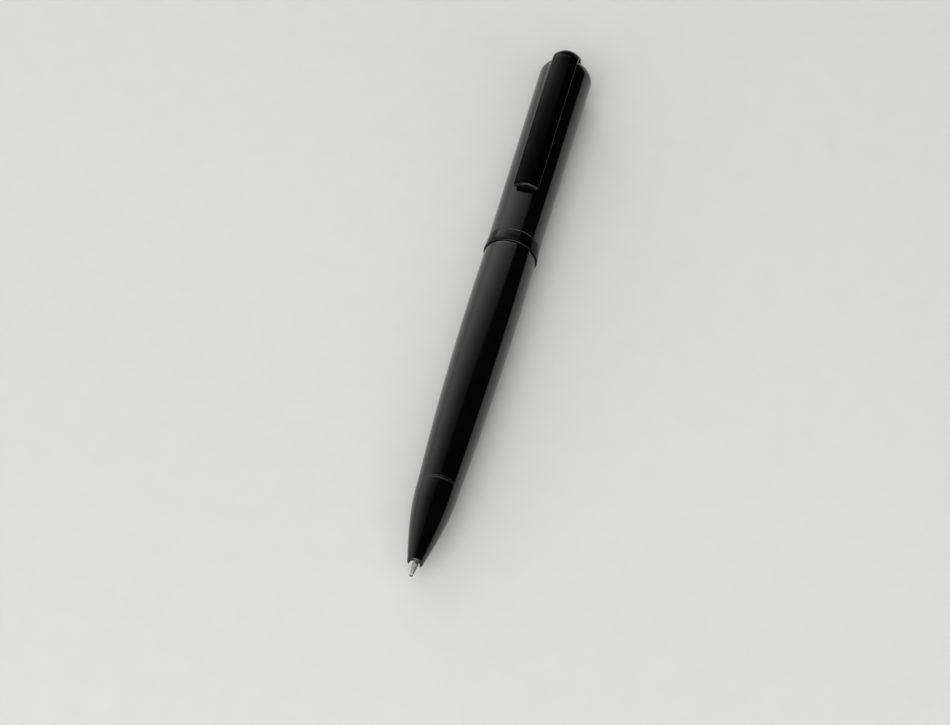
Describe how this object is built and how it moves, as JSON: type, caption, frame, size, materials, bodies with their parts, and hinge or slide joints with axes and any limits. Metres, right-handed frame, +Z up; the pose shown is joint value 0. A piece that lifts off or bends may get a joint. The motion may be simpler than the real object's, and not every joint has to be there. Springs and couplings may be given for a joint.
{
  "type": "ballpoint pen",
  "caption": "Slim gloss black twist-action ballpoint pen with a tapered nose, a centre ring and a strap clip bent over its rounded end; turning the upper half draws the point in.",
  "frame": {"origin": "middle of the pen's length and width, on the surface that it lies on", "axes": "+X along the pen from the writing point to the cap end, +Z up, on the side that carries the clip"},
  "size_m": [0.1388, 0.0116, 0.0136],
  "materials": {
    "black_lacquer": "gloss black lacquer with broad soft reflections",
    "ring_lacquer": "gloss black lacquer, a little darker than the barrels",
    "clip_lacquer": "matt black lacquer, duller than the barrels",
    "dark_chrome": "near-black polished plating",
    "bright_point": "bright polished nickel silver",
    "ball_metal": "polished hard metal",
    "brass": "turned brass",
    "refill_metal": "drawn metal tube",
    "spring_steel": "bright wire and turned steel",
    "white_plastic": "natural white moulded plastic",
    "dark_plastic": "dark moulded plastic",
    "rubber": "black rubber",
    "ink": "thick dark ink",
    "grease": "clear amber grease"
  },
  "bodies": {
    "lower_body": {"nose_cone": "black_lacquer", "nose_trim_ring": "dark_chrome", "threaded_insert": "brass", "lower_barrel": "black_lacquer", "guide_tube": "brass", "twist_washer": "white_plastic", "friction_o_ring": "rubber", "thrust_washer": "white_plastic", "retaining_ring": "spring_steel", "return_spring": "spring_steel"},
    "upper_body": {"center_ring": "ring_lacquer", "upper_barrel": "black_lacquer", "cam_sleeve": "white_plastic", "clip_root": "clip_lacquer", "clip_anchor": "dark_plastic", "clip_screw": "spring_steel"},
    "clip": {"clip_arm": "clip_lacquer"},
    "refill": {"plunger": "brass", "drive_pin": "spring_steel", "refill_tube": "refill_metal", "refill_plug": "dark_plastic", "refill_point": "bright_point", "ink_column": "ink", "ink_follower": "grease"},
    "ball": {"writing_ball": "ball_metal"}
  },
  "joints": [
    {"name": "twist", "type": "hinge", "parent": "lower_body", "child": "upper_body", "pos_m": [0.01455, 0, 0.00584], "axis": [1, 0, 0], "range_deg": [0, 180]},
    {"name": "refill_slide", "type": "slide", "parent": "lower_body", "child": "refill", "axis": [1, 0, 0], "range_m": [0, 0.0055], "deforming": ["return_spring"]},
    {"name": "clip_flex", "type": "hinge", "parent": "upper_body", "child": "clip", "pos_m": [0.06525, 0, 0.01344], "axis": [0, 1, 0], "range_deg": [0, 3], "stiffness_Nm_per_rad": 0.5},
    {"name": "ball_roll", "type": "hinge", "parent": "refill", "child": "ball", "pos_m": [-0.06907, 0, 0.00584], "axis": [0, 1, 0], "continuous": true}
  ],
  "couplings": [
    {"joint": "twist", "follows": "refill_slide", "rad_per_m": 571.2}
  ]
}
